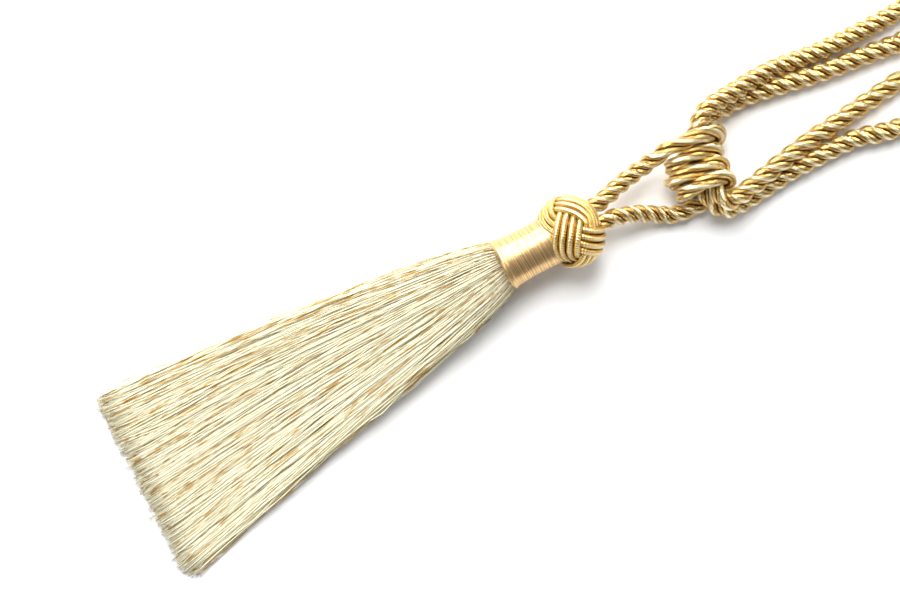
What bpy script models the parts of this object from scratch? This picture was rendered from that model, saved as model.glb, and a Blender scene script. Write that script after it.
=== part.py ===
"""Curtain tieback: a fringe tassel on a knotted head, tied to a doubled rope by a coil knot.

Metres, +Z up. The tassel lies on its side on the plane z = 0, its axis along X, the fringe
towards -X and the ropes towards +X. The origin is under the middle of the head.
"""
import math
import random

import bmesh
import bpy
import numpy as np
from mathutils import Matrix, Vector

# Driving sizes, in metres.
GAP = 0.0003                     # between touching pieces
ROPE_DIAMETER = 0.0074
ROPE_LAY = 0.0215                # length of one full twist of the three strands
TWIST_STEPS = 9                  # sections per full twist

HEAD_RADIUS = 0.0173             # across the tassel's axis
HEAD_HALF_LENGTH = 0.0161        # along it
HEAD_HEIGHT = 0.0168             # middle of the head above the surface
HEAD_COLLAR_FACE = -0.0105       # X of the head's flat towards the collar
HEAD_ROPE_FACE = 0.0130          # X of its flat towards the ropes
HEAD_MOUTH = 0.86                # the flat's size, as the cosine of its half angle

BAND_WIDTH = 0.0124              # four plaited cords side by side
BAND_LIFT = 0.0011               # how far a band rises over, or dips under, another
BAND_CROWN = 0.0015              # how much fuller a band is along its middle
KNOT_LEADS = 3
KNOT_BIGHTS = 4
KNOT_MID_LATITUDE = math.radians(6)
KNOT_SWING = math.radians(42)    # how far the bands swing either side of that latitude
KNOT_TURN = math.radians(-182)   # brings a crossing to the top of the head

COLLAR_Y = 0.0012
COLLAR_Z = 0.0156
COLLAR_LENGTH = 0.0233

ROOT_RADIUS = 0.0109             # of the fringe where it leaves the collar
ROOT_DEPTH = 0.0030              # thickness of the bound roots
ROOT_CELL = 0.00150              # spacing of the locks at the roots
LOCK_WIDTH = 0.00090             # a lock at its root
FRINGE_LENGTH = 0.1875
FRINGE_LAYERS = 3
LAYER_STEP = 0.00150             # between the layers of locks at the fringe's end
FLOOR_LAYER = 0.00075            # middle of the lowest layer above the surface

KNOT_MIDDLE = (0.0627, -0.0036)  # of the coil knot
KNOT_AXIS = (0.2019, 0.9794)     # along which the doubled rope runs through it
# The two ropes inside the knot: place along the axis, then across and height of each.
KNOT_PAIR = [
    (-0.0125, -0.0016, 0.0115, 0.0042, 0.0159), (-0.0085, -0.0034, 0.0114, 0.0036, 0.0143),
    (-0.0040, -0.0042, 0.0119, 0.0035, 0.0129), (0.0000, -0.0042, 0.0124, 0.0035, 0.0122),
    (0.0040, -0.0030, 0.0134, 0.0040, 0.0110), (0.0085, -0.0002, 0.0146, 0.0056, 0.0098),
    (0.0125, 0.0032, 0.0156, 0.0078, 0.0090),
]
COIL_REACH = 0.0069              # from the middle of a rope inside to the coil's own
COIL_LEAN = 0.30                 # the tops of the turns stand forward along the axis
COIL_PITCH = 0.0067
COIL_START = 0.0072              # along the axis, where the first turn passes the right side
COIL_LEVEL = 1.3                 # how square to the axis each turn crosses the top of the knot
COIL_FIRST = 72                  # degrees round the knot where the coil begins
COIL_LAST = 1302
COIL_TIGHT = 0.80                # share of its thickness left to the rope pulled tight
PAIR_TIGHT = 0.86
KNOT_INSIDE = 0.013              # from the knot's middle, where the ropes are still tight
KNOT_EASE = 0.011                # the length over which they recover their thickness

# Routes, as points along the middle of the rope (X, Y, Z).
UPPER_LEG = [
    (0.0135, 0.0042, 0.0166), (0.0165, 0.0042, 0.0166), (0.0215, 0.0048, 0.0157),
    (0.0280, 0.0061, 0.0142), (0.0355, 0.0071, 0.0136), (0.0455, 0.0079, 0.0152),
    (0.0511, 0.0084, 0.0189), (0.0560, 0.0087, 0.0214),
]
LOWER_LEG = [
    (0.0621, -0.0201, 0.0039), (0.0581, -0.0198, 0.0037), (0.0542, -0.0201, 0.0037),
    (0.0495, -0.0193, 0.0039), (0.0440, -0.0182, 0.0039), (0.0390, -0.0156, 0.0045),
    (0.0340, -0.0122, 0.0069), (0.0285, -0.0089, 0.0105), (0.0220, -0.0061, 0.0144),
    (0.0165, -0.0043, 0.0165), (0.0137, -0.0043, 0.0165),
]
UPPER_ARM_OUT = [
    (0.0718, 0.0108, 0.0163), (0.0754, 0.0131, 0.0156), (0.0801, 0.0147, 0.0150),
    (0.0863, 0.0151, 0.0136), (0.0926, 0.0150, 0.0122), (0.0991, 0.0152, 0.0110),
    (0.1089, 0.0149, 0.0080), (0.1188, 0.0139, 0.0049), (0.1378, 0.0104, 0.0038),
    (0.1586, 0.0083, 0.0038), (0.1782, 0.0075, 0.0038), (0.2050, 0.0088, 0.0038),
    (0.2350, 0.0120, 0.0038), (0.2650, 0.0164, 0.0038), (0.2920, 0.0186, 0.0038),
]
UPPER_ARM_END = [
    (0.3130, 0.0150, 0.0038), (0.3225, 0.0040, 0.0038), (0.3135, -0.0075, 0.0038),
]
UPPER_ARM_BACK = [
    (0.2930, -0.0118, 0.0038), (0.2650, -0.0110, 0.0038), (0.2350, -0.0096, 0.0038),
    (0.2050, -0.0082, 0.0038), (0.1706, -0.0050, 0.0038), (0.1595, -0.0029, 0.0038),
    (0.1460, -0.0006, 0.0038), (0.1324, 0.0020, 0.0038), (0.1203, 0.0051, 0.0038),
    (0.1107, 0.0075, 0.0038), (0.1036, 0.0093, 0.0038), (0.0964, 0.0109, 0.0038),
    (0.0892, 0.0112, 0.0046), (0.0833, 0.0114, 0.0066), (0.0794, 0.0112, 0.0076),
    (0.0762, 0.0097, 0.0086),
]
LOWER_ARM_OUT = [
    (0.0643, -0.0204, 0.0170), (0.0645, -0.0236, 0.0169), (0.0668, -0.0257, 0.0159),
    (0.0706, -0.0259, 0.0145), (0.0746, -0.0256, 0.0132), (0.0785, -0.0253, 0.0120),
    (0.0828, -0.0249, 0.0112), (0.0882, -0.0240, 0.0104), (0.0942, -0.0232, 0.0098),
    (0.1043, -0.0222, 0.0079), (0.1151, -0.0213, 0.0053), (0.1238, -0.0211, 0.0038),
    (0.1412, -0.0202, 0.0038), (0.1619, -0.0194, 0.0038), (0.1850, -0.0200, 0.0038),
    (0.2100, -0.0225, 0.0038), (0.2380, -0.0262, 0.0038), (0.2650, -0.0284, 0.0038),
]
LOWER_ARM_END = [
    (0.2890, -0.0322, 0.0038), (0.2985, -0.0432, 0.0038), (0.2895, -0.0545, 0.0038),
]
LOWER_ARM_BACK = [
    (0.2670, -0.0590, 0.0038), (0.2400, -0.0562, 0.0038), (0.2100, -0.0497, 0.0038),
    (0.1800, -0.0431, 0.0038), (0.1509, -0.0377, 0.0038), (0.1402, -0.0348, 0.0038),
    (0.1320, -0.0318, 0.0038), (0.1230, -0.0304, 0.0038), (0.1139, -0.0297, 0.0038),
    (0.1046, -0.0291, 0.0038), (0.0963, -0.0287, 0.0038), (0.0876, -0.0289, 0.0038),
    (0.0790, -0.0293, 0.0038), (0.0751, -0.0294, 0.0042), (0.0710, -0.0294, 0.0054),
    (0.0669, -0.0290, 0.0072), (0.0635, -0.0273, 0.0089), (0.0608, -0.0244, 0.0104),
    (0.0597, -0.0205, 0.0115),
]


def clear_scene():
    for item in list(bpy.data.objects):
        bpy.data.objects.remove(item, do_unlink=True)


def new_collection(name):
    group = bpy.data.collections.new(name)
    bpy.context.scene.collection.children.link(group)
    return group


def make_material(name, colour, roughness):
    """A satin yarn finish."""
    material = bpy.data.materials.new(name)
    material.use_nodes = True
    shader = material.node_tree.nodes["Principled BSDF"]
    shader.inputs["Base Color"].default_value = (*colour, 1.0)
    shader.inputs["Roughness"].default_value = roughness
    shader.inputs["Metallic"].default_value = 0.0
    return material


def add_mesh(name, bm, material, group):
    """Turn a bmesh into a named object in its group."""
    mesh = bpy.data.meshes.new(name)
    bm.to_mesh(mesh)
    bm.free()
    mesh.materials.append(material)
    piece = bpy.data.objects.new(name, mesh)
    group.objects.link(piece)
    return piece


# Smooth routes


def smooth_route(points, samples=12):
    """A Catmull-Rom curve through the points, as many short steps."""
    knots = [Vector(point) for point in points]
    knots = [2 * knots[0] - knots[1]] + knots + [2 * knots[-1] - knots[-2]]
    route = []
    for before, start, end, after in zip(knots, knots[1:], knots[2:], knots[3:]):
        for step in range(samples):
            t = step / samples
            pull = (end - before) * t + (2 * before - 5 * start + 4 * end - after) * t ** 2
            pull += (3 * start - before - 3 * end + after) * t ** 3
            route.append(start + 0.5 * pull)
    route.append(knots[-2])
    return route


def even_steps(route, step):
    """The same route with its points one step apart."""
    total = sum((b - a).length for a, b in zip(route, route[1:]))
    count = max(2, round(total / step))
    spacing = total / count
    points = [route[0]]
    travelled = 0.0
    for a, b in zip(route, route[1:]):
        length = (b - a).length
        while length > 0 and travelled + length >= spacing * len(points) - 1e-9:
            share = (spacing * len(points) - travelled) / length
            points.append(a.lerp(b, min(max(share, 0.0), 1.0)))
            if len(points) > count:
                return points
        travelled += length
    return points


def knot_point(across, along, height):
    """A point given in the coil knot's own directions."""
    x = KNOT_MIDDLE[0] + across * KNOT_AXIS[1] + along * KNOT_AXIS[0]
    y = KNOT_MIDDLE[1] - across * KNOT_AXIS[0] + along * KNOT_AXIS[1]
    return (x, y, height)


def eased(value, start, length):
    """Rises from 0 to 1 over a length."""
    return min(max((value - start) / length, 0), 1)


def pair_point(side, along):
    """A point on the left (-1) or right (1) of the two ropes inside the knot."""
    places = [row[0] for row in KNOT_PAIR]
    first = 1 if side < 0 else 3
    across = float(np.interp(along, places, [row[first] for row in KNOT_PAIR]))
    height = float(np.interp(along, places, [row[first + 1] for row in KNOT_PAIR]))
    return across, height


def coil_route():
    """Turns of rope pulled tight round the two ropes inside."""
    count = round((COIL_LAST - COIL_FIRST) / 9)
    points = []
    for step in range(count + 1):
        turn = COIL_FIRST + (COIL_LAST - COIL_FIRST) * step / count
        out, lift = -math.cos(math.radians(turn)), math.sin(math.radians(turn))
        turns = (turn - 180) / 360 - COIL_LEVEL * out / (2 * math.pi)
        along = COIL_START - COIL_PITCH * turns + COIL_LEAN * COIL_REACH * lift
        left, left_height = pair_point(-1, along)
        right, right_height = pair_point(1, along)
        half, rise = (right - left) / 2, (right_height - left_height) / 2
        spread = 1.7 if out < 0 else 3
        share = math.tanh(spread * (out * half + lift * rise) / math.hypot(half, rise))
        reach = COIL_REACH + 0.0015 * eased(along, 0.002, 0.006)
        reach += 0.0003 * eased(-along, 0.003, 0.003)
        belly = eased(-along, -0.004, 0.012) * eased(along, -0.0115, 0.004)
        bulge = (0.0008 + 0.0022 * belly) * max(-out, 0) ** 2
        across = (left + right) / 2 + half * share + reach * out - bulge
        height = (left_height + right_height) / 2 + rise * share + reach * lift
        points.append(knot_point(across, along, height))
    return points


def inside_knot(side, places):
    """The stretch of one of the two ropes inside the knot."""
    points = []
    for along in places:
        across, height = pair_point(side, along)
        points.append(knot_point(across, along, height))
    return points


def tightness(place, tight):
    """Share of its thickness a rope keeps, so far from the knot's middle."""
    away = math.hypot(place.x - KNOT_MIDDLE[0], place.y - KNOT_MIDDLE[1])
    return tight + (1 - tight) * eased(away, KNOT_INSIDE, KNOT_EASE)


# Ropes


def strand_outline(group):
    """Cross-section of the laid rope: three strands, with a groove between each two."""
    radius = ROPE_DIAMETER / 2
    outline = ((60, 0.58), (0, 1.0))
    data = bpy.data.curves.new("strand_outline", "CURVE")
    data.dimensions = "2D"
    spline = data.splines.new("POLY")
    spline.points.add(3 * len(outline) - 1)
    spline.use_cyclic_u = True
    index = 0
    for strand in range(3):
        for turn, share in outline:
            angle = math.radians(turn - 120 * strand)
            place = radius * share
            spline.points[index].co = (place * math.cos(angle), place * math.sin(angle), 0, 1)
            index += 1
    guide = bpy.data.objects.new("strand_outline", data)
    guide.hide_render = True
    guide.display_type = "WIRE"
    group.objects.link(guide)
    return guide


def add_rope(name, route, outline, material, group, tight, eases=True):
    """A twisted rope along a route, with flat ends."""
    points = even_steps(route, ROPE_LAY / TWIST_STEPS)
    data = bpy.data.curves.new(name, "CURVE")
    data.dimensions = "3D"
    data.twist_mode = "MINIMUM"
    data.bevel_mode = "OBJECT"
    data.bevel_object = outline
    data.use_fill_caps = True
    spline = data.splines.new("POLY")
    spline.points.add(len(points) - 1)
    for index, place in enumerate(points):
        spline.points[index].co = (*place, 1.0)
        spline.points[index].tilt = index * 2 * math.pi / TWIST_STEPS
        spline.points[index].radius = tightness(place, tight) if eases else tight
    data.materials.append(material)
    piece = bpy.data.objects.new(name, data)
    group.objects.link(piece)
    return piece


def add_ropes(group, outline, material):
    coil = [Vector(point) for point in coil_route()]
    upper = smooth_route(UPPER_LEG + [tuple(coil[0]), tuple(coil[3])])
    lower = smooth_route([tuple(coil[-4]), tuple(coil[-1])] + LOWER_LEG)
    upper_end = min(range(len(upper)), key=lambda i: (upper[i] - coil[0]).length)
    lower_start = min(range(len(lower)), key=lambda i: (lower[i] - coil[-1]).length)
    upper = trim_end(upper[:upper_end + 1])
    lower = trim_end(lower[lower_start:][::-1])
    add_rope("loop_leg_upper", upper, outline, material, group, COIL_TIGHT)
    add_rope("loop_leg_lower", lower, outline, material, group, COIL_TIGHT)
    add_rope("coil_knot", coil, outline, material, group, COIL_TIGHT, eases=False)
    into = inside_knot(-1, (GAP, 0.0040, 0.0085, 0.0125))
    middle = inside_knot(1, (0.0125, 0.0085, 0.0040, 0, -0.0040, -0.0085, -0.0125))
    out = inside_knot(-1, (-0.0125, -0.0085, -0.0040, -GAP))
    upper_arm = UPPER_ARM_OUT + UPPER_ARM_END + UPPER_ARM_BACK
    lower_arm = LOWER_ARM_OUT + LOWER_ARM_END + LOWER_ARM_BACK
    ring = smooth_route(into + upper_arm + middle + lower_arm + out)
    add_rope("embrace_rope", ring, outline, material, group, PAIR_TIGHT)


def trim_end(route):
    """The route stopped just short of the rope that carries on from it."""
    last = route[-1]
    back = (route[-2] - last).normalized()
    return route[:-1] + [last + back * 2 * GAP]


# Head


def band_samples():
    """Points along the middle of the plaited band: direction from the head's middle, and lift."""
    turns = np.linspace(0, 2 * math.pi * KNOT_LEADS, 90 * KNOT_LEADS, endpoint=False)
    phase = KNOT_BIGHTS * turns / KNOT_LEADS
    latitude = KNOT_MID_LATITUDE + KNOT_SWING * np.cos(phase)
    longitude = turns + KNOT_TURN
    directions = np.stack([
        np.sin(latitude),
        np.cos(latitude) * np.sin(longitude),
        np.cos(latitude) * np.cos(longitude),
    ], axis=1)
    return directions, BAND_LIFT * np.sin(2 * phase)


def band_relief(direction, samples, lift):
    """Height of the woven bands over the head's surface in one direction."""
    away = HEAD_RADIUS * np.arccos(np.clip(samples @ np.array(direction), -1, 1))
    share = away / (BAND_WIDTH / 2)
    height = np.where(share < 1, lift + BAND_CROWN * (1 - share ** 4), -BAND_LIFT)
    return float(height.max()) - BAND_LIFT - BAND_CROWN


def add_head(group, material):
    """A ball covered by a woven knot of flat bands, with small flats where it is met."""
    bm = bmesh.new()
    bmesh.ops.create_uvsphere(bm, u_segments=64, v_segments=34, radius=1.0)
    bmesh.ops.rotate(bm, verts=bm.verts, matrix=Matrix.Rotation(math.pi / 2, 3, "Y"))
    samples, lift = band_samples()
    for vert in bm.verts:
        direction = vert.co.normalized()
        relief = band_relief(direction, samples, lift)
        foot = max(0.0, min(1.0, (direction.z + 1.0) / 0.12))
        radius = HEAD_RADIUS + relief * foot
        length = HEAD_HALF_LENGTH + relief
        vert.co = (direction.x * length, direction.y * radius, direction.z * radius + HEAD_HEIGHT)
        if direction.x > HEAD_MOUTH:
            vert.co.x = max(vert.co.x, HEAD_ROPE_FACE + GAP)
    cuts = (
        ((0, 0, 0), (0, 0, -1)),
        ((HEAD_COLLAR_FACE, 0, 0), (-1, 0, 0)),
        ((HEAD_ROPE_FACE, 0, 0), (1, 0, 0)),
    )
    for place, outward in cuts:
        cut_flat(bm, place, outward)
    return add_mesh("head", bm, material, group)


def cut_flat(bm, place, outward):
    """Cut the solid square to a direction and close it with one flat face."""
    geometry = bm.verts[:] + bm.edges[:] + bm.faces[:]
    cut = bmesh.ops.bisect_plane(
        bm, geom=geometry, dist=1e-7, plane_co=place, plane_no=outward, clear_outer=True)
    rim = [item for item in cut["geom_cut"] if isinstance(item, bmesh.types.BMEdge)]
    bmesh.ops.contextual_create(bm, geom=rim)
    bmesh.ops.recalc_face_normals(bm, faces=bm.faces)


# Collar


def add_collar(group, material):
    """A wound sleeve, a little waisted, with a rolled edge at the fringe."""
    # Share of the length from the head's end, and radius.
    profile = (
        (0.00, 0.0), (0.00, 0.0113), (0.12, 0.0111), (0.45, 0.0109), (0.75, 0.0112),
        (0.89, 0.0116), (0.92, 0.0121), (0.96, 0.0121), (1.00, 0.0114), (1.00, 0.0),
    )
    mesh = bpy.data.meshes.new("collar")
    bm = bmesh.new()
    verts = [bm.verts.new((radius, 0, -share * COLLAR_LENGTH)) for share, radius in profile]
    for a, b in zip(verts, verts[1:]):
        bm.edges.new((a, b))
    bm.to_mesh(mesh)
    bm.free()
    mesh.materials.append(material)
    piece = bpy.data.objects.new("collar", mesh)
    piece.location = (HEAD_COLLAR_FACE - GAP, COLLAR_Y, COLLAR_Z)
    piece.rotation_euler = (0, math.pi / 2, 0)
    group.objects.link(piece)
    screw = piece.modifiers.new("turn", "SCREW")
    screw.axis = "Z"
    screw.steps = 28
    screw.render_steps = 28
    screw.use_merge_vertices = True
    screw.merge_threshold = 0.00005
    return piece


# Fringe


def spread_share(t):
    """How much of its full spread the fringe has at a share t of its length."""
    return t ** 0.75


def drop_share(t):
    """How much of the fall from the collar to the surface is done at a share t."""
    return t ** 0.60


def lane_ends(columns):
    """End place of each lock: rows of the root go to layers, in lanes side by side."""
    # Layer from the surface up: half width of the layer at the fringe's end.
    half_widths = (0.0462, 0.0458, 0.0420)
    lanes = {layer: [] for layer in range(FRINGE_LAYERS)}
    for key in sorted(columns):
        lanes[columns[key]].append(key)
    ends = {}
    for layer, keys in lanes.items():
        half = half_widths[layer]
        for order, key in enumerate(keys):
            across = -half + 2 * half * (order + 0.5) / len(keys)
            ends[key] = (across, FLOOR_LAYER + LAYER_STEP * layer)
    return ends


def add_skirt(group, material):
    """Locks of yarn, each drawn out of one disc of bound roots and laid out on the surface."""
    root_x = HEAD_COLLAR_FACE - COLLAR_LENGTH - 2 * GAP - ROOT_DEPTH
    cells = math.ceil(2 * ROOT_RADIUS / ROOT_CELL)
    half = cells * ROOT_CELL / 2
    bm = bmesh.new()
    bmesh.ops.create_grid(bm, x_segments=cells, y_segments=cells, size=half)
    outside = []
    for face in bm.faces:
        if face.calc_center_median().length > ROOT_RADIUS - ROOT_CELL / 3:
            outside.append(face)
    bmesh.ops.delete(bm, geom=outside, context="FACES")
    # The grid's X and Y become the part's Y and Z.
    turn = Matrix(((0, 0, 1), (1, 0, 0), (0, 1, 0)))
    bmesh.ops.transform(bm, verts=bm.verts, matrix=turn.to_4x4())
    bmesh.ops.translate(bm, verts=bm.verts, vec=(root_x, COLLAR_Y, COLLAR_Z))
    fronts = bm.faces[:]
    back = bmesh.ops.extrude_face_region(bm, geom=fronts, use_keep_orig=True)["geom"]
    back_verts = [item for item in back if isinstance(item, bmesh.types.BMVert)]
    back_faces = [item for item in back if isinstance(item, bmesh.types.BMFace)]
    bmesh.ops.translate(bm, verts=back_verts, vec=(ROOT_DEPTH, 0, 0))
    bmesh.ops.dissolve_faces(bm, faces=back_faces)
    fronts = [face for face in bm.faces if face.is_valid and is_front(face, root_x)]
    bmesh.ops.inset_individual(bm, faces=fronts, thickness=(ROOT_CELL - LOCK_WIDTH) / 2)
    draw_out_locks(bm, fronts, root_x)
    bmesh.ops.recalc_face_normals(bm, faces=bm.faces)
    return add_mesh("skirt", bm, material, group)


def is_front(face, root_x):
    return len(face.verts) == 4 and abs(face.calc_center_median().x - root_x) < 1e-6


def draw_out_locks(bm, faces, root_x):
    """Draw each lock out of its cell in a few lengths, along its own way to the surface."""
    # Share of the length, and width of a lock there.
    stations = ((0.16, 0.00074), (0.42, 0.00080), (1.00, 0.00125))
    keys = {}
    layers = {}
    for face in faces:
        place = face.calc_center_median()
        column = round((place.y - COLLAR_Y) / ROOT_CELL * 2)
        row = round((place.z - COLLAR_Z) / ROOT_CELL * 2)
        level = (place.z - COLLAR_Z) / ROOT_RADIUS
        keys[face] = (column, row)
        layers[(column, row)] = 0 if level < -0.27 else 1 if level < 0.27 else 2
    ends = lane_ends(layers)
    chance = random.Random(7)
    lengths = {key: FRINGE_LENGTH * (1 + chance.uniform(-0.014, 0.018)) for key in sorted(ends)}
    roots = {key: face.calc_center_median().copy() for face, key in keys.items()}
    width = LOCK_WIDTH
    current = dict(keys)
    for share, next_width in stations:
        drawn = {}
        for face, key in current.items():
            new_face = bmesh.ops.extrude_discrete_faces(bm, faces=[face])["faces"][0]
            root = roots[key]
            across, height = ends[key]
            spread = spread_share(share)
            target = Vector((
                root_x - share * (lengths[key] + end_slant(across)),
                root.y + (sway(share) + across + COLLAR_Y - root.y) * spread,
                root.z + (height - root.z) * drop_share(share),
            ))
            middle = new_face.calc_center_median()
            scale = next_width / width
            for vert in new_face.verts:
                vert.co = target + (vert.co - middle) * scale
            drawn[new_face] = key
        current = drawn
        width = next_width


def end_slant(across):
    """The fringe's end runs a little slantwise: longer on the -Y side."""
    return 0.0025 - across * 0.075


def sway(share):
    """Sideways bow of the whole fringe."""
    return 0.0012 + 0.0022 * math.sin(math.pi * min(share * 1.1, 1.0))


def main():
    clear_scene()
    parts = new_collection("curtain_tieback")
    guides = new_collection("guides")
    gold = make_material("gold_rope_yarn", (0.62, 0.42, 0.14), 0.35)
    wound = make_material("wound_satin_thread", (0.66, 0.50, 0.24), 0.30)
    cream = make_material("cream_fringe_yarn", (0.80, 0.70, 0.46), 0.45)
    outline = strand_outline(guides)
    add_skirt(parts, cream)
    add_collar(parts, wound)
    add_head(parts, gold)
    add_ropes(parts, outline, gold)


main()
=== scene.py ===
"""Curtain tieback tassel: a yarn fringe on a wound collar and a plaited head, tied to its rope.

Metres, +Z up. The tassel lies along X with its fringe towards -X, on the plane z = 0.
"""
import math
import random

import bmesh
import bpy
import numpy as np
from bpy.props import FloatProperty, FloatVectorProperty, IntProperty, PointerProperty
from mathutils import Matrix, Vector
from mathutils.kdtree import KDTree


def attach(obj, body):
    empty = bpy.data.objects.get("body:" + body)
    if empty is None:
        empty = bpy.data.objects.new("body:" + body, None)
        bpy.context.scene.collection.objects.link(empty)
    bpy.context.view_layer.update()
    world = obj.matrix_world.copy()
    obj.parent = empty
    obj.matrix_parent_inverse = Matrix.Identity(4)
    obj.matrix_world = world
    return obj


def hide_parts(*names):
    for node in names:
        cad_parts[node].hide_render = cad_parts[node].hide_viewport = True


bl_info = {
    "name": "Curtain tieback tassel",
    "version": (1, 0, 0),
    "blender": (4, 5, 0),
    "location": "3D View > Sidebar > Tieback",
    "description": "Builds a rope curtain tieback with a fringe tassel, piece by piece",
    "category": "Add Mesh",
}

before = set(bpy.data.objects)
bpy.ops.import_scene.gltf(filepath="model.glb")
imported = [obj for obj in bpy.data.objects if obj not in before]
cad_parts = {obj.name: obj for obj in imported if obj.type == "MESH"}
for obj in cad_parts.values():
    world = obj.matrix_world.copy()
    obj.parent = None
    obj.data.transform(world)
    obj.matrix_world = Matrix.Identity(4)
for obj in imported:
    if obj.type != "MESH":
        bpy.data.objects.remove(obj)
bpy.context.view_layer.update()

# Laid rope.
STRANDS = 3                      # in each rope
STRAND_SIZE = 0.52               # thickness of a strand, as a share of its rope's
STRAND_STEPS = 14                # sides of each strand
TWIST_STEPS = 18                 # stations along one full twist
ROPE_REST = 0.51                 # least height of a rope's middle, in its diameters
RIB_SPACING = 0.00080            # between the fine ribs across a strand, along the rope
RIB_SLANT = -4.8                 # ribs passed over from one side of a strand to the other
TIGHT_LAY = 0.0163               # of the upper arm's outer stretch, which is twisted tighter
SLACK_LAY = 0.0247               # and of the lower arm's outer stretch, which has slackened
LEG_LAY = 0.0192                 # and of the loop rope

# The head: an ellipsoid, long along X.
HEAD_CENTRE = Vector((-0.0004, 0.0, 0.0169))
HEAD_RADIUS = 0.0171
HEAD_HALF_LENGTH = 0.0154
HEAD_COLLAR_FACE = -0.0105       # X at which the collar meets the head

# The woven knot round the head: one band of cords that swings up and down as it goes round.
KNOT_LEADS = 3
KNOT_BIGHTS = 4
KNOT_MID_LATITUDE = math.radians(6)
KNOT_SWING = math.radians(42)
KNOT_TURN = math.radians(-182)
BAND_LIFT = 0.0011               # how far the band rises to pass over, and sinks to pass under
CORD_STEPS = 160                 # points on a cord in each turn round the head
CORD_SIDES = 14
THREAD_SPACING = 0.00085         # between the turns of thread round a cord
THREAD_SLANT = 2.0               # turns of thread passed over on the way round a cord
# In cord spacings: a cord's radius, the depth of its middle under the head's surface where it lies
# on top, and the depth of the former past the band's full drop.
CORD_REACH = 0.40
CORD_DEPTH = 0.37
CORE_DEPTH = 0.31

# The collar.
COLLAR_CENTRE = Vector((0.0, 0.0012, 0.0156))
COLLAR_OVERLAP = 0.0012          # from the head's flat to the collar's end inside the head
COLLAR_END = -0.0352             # X of the collar's edge at the fringe
COLLAR_SKEW = math.radians(-3.9)   # turn of the collar about the head's end of it
COLLAR_SHIFT = 0.0017            # how far that moves its edge at the fringe
COLLAR_SIDES = 72
# Share of the collar's length from the head, and its radius there.
COLLAR_SHAPE = (
    (0.0, 0.0113), (0.12, 0.0111), (0.45, 0.0109), (0.75, 0.0112),
    (0.89, 0.0116), (0.92, 0.0121), (0.96, 0.0121), (1.0, 0.0114),
)
RING_STEPS = 3                   # points across one turn of the collar's thread
RING_FOOT = 0.00008              # how far the grooves lie under the collar's own radius
RING_HEIGHT = 0.00012            # of a turn of thread over the grooves
RING_WOBBLE = 0.00003            # unevenness of the turns
RING_SEED = 5

# The fringe.
ROOT_RADIUS = 0.0112             # of the bound root inside the collar
ROOT_DEPTH = 0.002               # from the collar's edge to the yarns' first points
YARN_LAYERS = 7
# Shares of a yarn's length at which its route has a point.
YARN_STATIONS = (
    0.0, 0.012, 0.03, 0.06, 0.10, 0.16, 0.24, 0.33, 0.42, 0.52, 0.62, 0.72, 0.81, 0.89, 0.95, 1.0,
)
YARN_SIDES = 3
YARN_SEED = 11
ROOT_WIDTH, WIDTH_GAIN = 0.78, 0.30   # of a yarn, as shares of the set width
WIDEST_STATION = 8
ROOT_SHUFFLE = (0.0012, 0.0007)  # mixing of the yarns from layer to layer, and inside one
LAYER_NARROWING = 0.012          # of each further layer, as a share of the half spread
CLUMP_WIDTH = 0.0042             # of the soft clumps that the yarns gather in
CLUMP_SHIFT = 0.3                # how far apart, in clumps, yarns of one lane may choose
CLUMP_PULL = 0.30                # largest share of the way to its clump that a yarn is drawn
LANE_SCATTER = 0.0009
LENGTH_SCATTER = 0.0016
LENGTH_EXTRA = 0.0025            # past the set length, at the middle of the fringe
LENGTH_SLANT = 0.075             # how the cut runs askew: length lost for each metre across
LOWEST_YARN = 0.00065            # height of the lowest layer's loose ends
LAYER_LIFT = 0.00045             # of each layer's ends over those below
LIFT_SCATTER = 0.0002
WAVE_SIZE = 0.0008               # of a yarn's long waves
RIPPLE_SIZE = 0.00045            # and of its shorter ones
WAVES = (0.7, 1.7)               # fewest and most long waves in a yarn
RIPPLE_RATE = 3.1                # short waves in each long one
WAVE_START = 0.25                # share of a yarn by which its waves are at their full size
CROSSING = (0.0012, 0.0035)      # slant across the fringe: of most yarns, and of loose ones
LOOSE_SHARE = 0.3                # of the yarns
STRAY_SHARE = 0.03               # share of the yarns whose tips stray
STRAY_REACH = 0.0035
TIP = (0.85, 0.15)               # share of a yarn where its tip begins, and the tip's share
FAN_POWER, FALL_POWER = 0.75, 0.60    # under 1, the yarns fan out and come down early
BOW = (0.0012, 0.0022)           # the whole fringe's drift sideways, and more at its middle
BOW_RATE = 1.1                   # over 1, the bow is over before the tips
PUFF, PUFF_SHARE = 0.06, 0.12    # swelling of the bundle outside the collar, and how far it goes

# The coil knot and the turns of rope in it.
KNOT_MIDDLE = (0.0627, -0.0036)
KNOT_AXIS = (0.2019, 0.9794)     # along which the doubled rope runs through it
# The two ropes inside the knot: place along the axis, then across and height of each.
KNOT_PAIR = [
    (-0.0125, -0.0016, 0.0115, 0.0042, 0.0159), (-0.0085, -0.0034, 0.0114, 0.0036, 0.0143),
    (-0.0040, -0.0042, 0.0119, 0.0035, 0.0129), (0.0000, -0.0042, 0.0124, 0.0035, 0.0122),
    (0.0040, -0.0030, 0.0134, 0.0040, 0.0110), (0.0085, -0.0002, 0.0146, 0.0056, 0.0098),
    (0.0125, 0.0032, 0.0156, 0.0078, 0.0090),
]
RING_GAP = 0.0003                # from the knot's middle to each end of the embrace rope
COIL_REACH = 0.0069              # from the middle of a rope inside to the coil's own
COIL_LEAN = 0.30                 # the tops of the turns stand forward along the axis
COIL_PITCH = 0.0067              # along the axis from one turn to the next
COIL_START = 0.0072              # along the axis, where the first turn passes the right side
COIL_LEVEL = 1.3                 # how square to the axis each turn crosses the top of the knot
COIL_FIRST = 72                  # degrees round the knot where the coil begins
COIL_LAST = 1302                 # and where it ends
COIL_STEP = 9                    # degrees from one point of the coil to the next
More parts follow.
